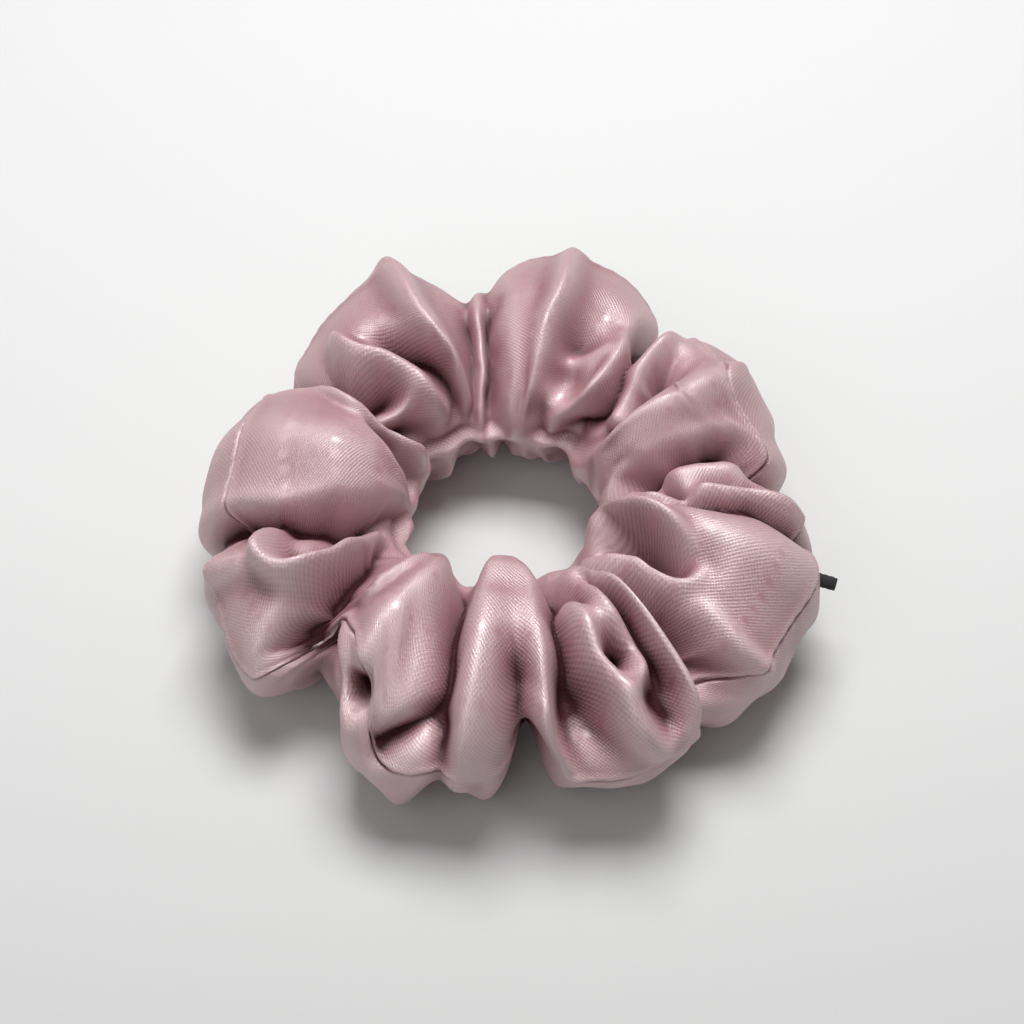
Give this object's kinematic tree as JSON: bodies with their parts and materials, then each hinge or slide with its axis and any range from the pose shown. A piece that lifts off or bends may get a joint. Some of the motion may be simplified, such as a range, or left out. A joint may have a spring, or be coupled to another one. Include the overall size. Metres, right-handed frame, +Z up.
{
  "type": "scrunchie",
  "caption": "Gathered satin hair ring: a sewn fabric tube ruched on a knotted loop of elastic cord, which stretches open to take a ponytail.",
  "frame": {"origin": "on the floor under the middle of the ring's outer box", "axes": "+Z up out of the floor, along the axis of the hair hole; +X across the ring's longest width, towards the elastic's protruding end"},
  "size_m": [0.1134, 0.11, 0.036],
  "materials": {
    "satin": "crepe-backed satin weave with a soft sheen",
    "thread": "twisted polyester sewing thread",
    "elastic_sheath": "matt braid",
    "elastic_core": "matt"
  },
  "bodies": {
    "left_half": {"cover_left": "satin", "needle_thread_left": "thread", "bobbin_thread_left": "thread", "elastic_sheath_left": "elastic_sheath", "elastic_core_left": "elastic_core"},
    "right_half": {"cover_right": "satin", "needle_thread_right": "thread", "bobbin_thread_right": "thread", "closing_thread": "thread", "cross_seam_thread": "thread", "elastic_sheath_right": "elastic_sheath", "elastic_core_right": "elastic_core", "elastic_knot": "elastic_sheath", "elastic_tail_long": "elastic_sheath", "elastic_tail_short": "elastic_sheath"}
  },
  "joints": [
    {"name": "stretch", "type": "slide", "parent": "left_half", "child": "right_half", "axis": [1, 0, 0], "range_m": [0, 0.06], "stiffness_N_per_m": 200}
  ]
}
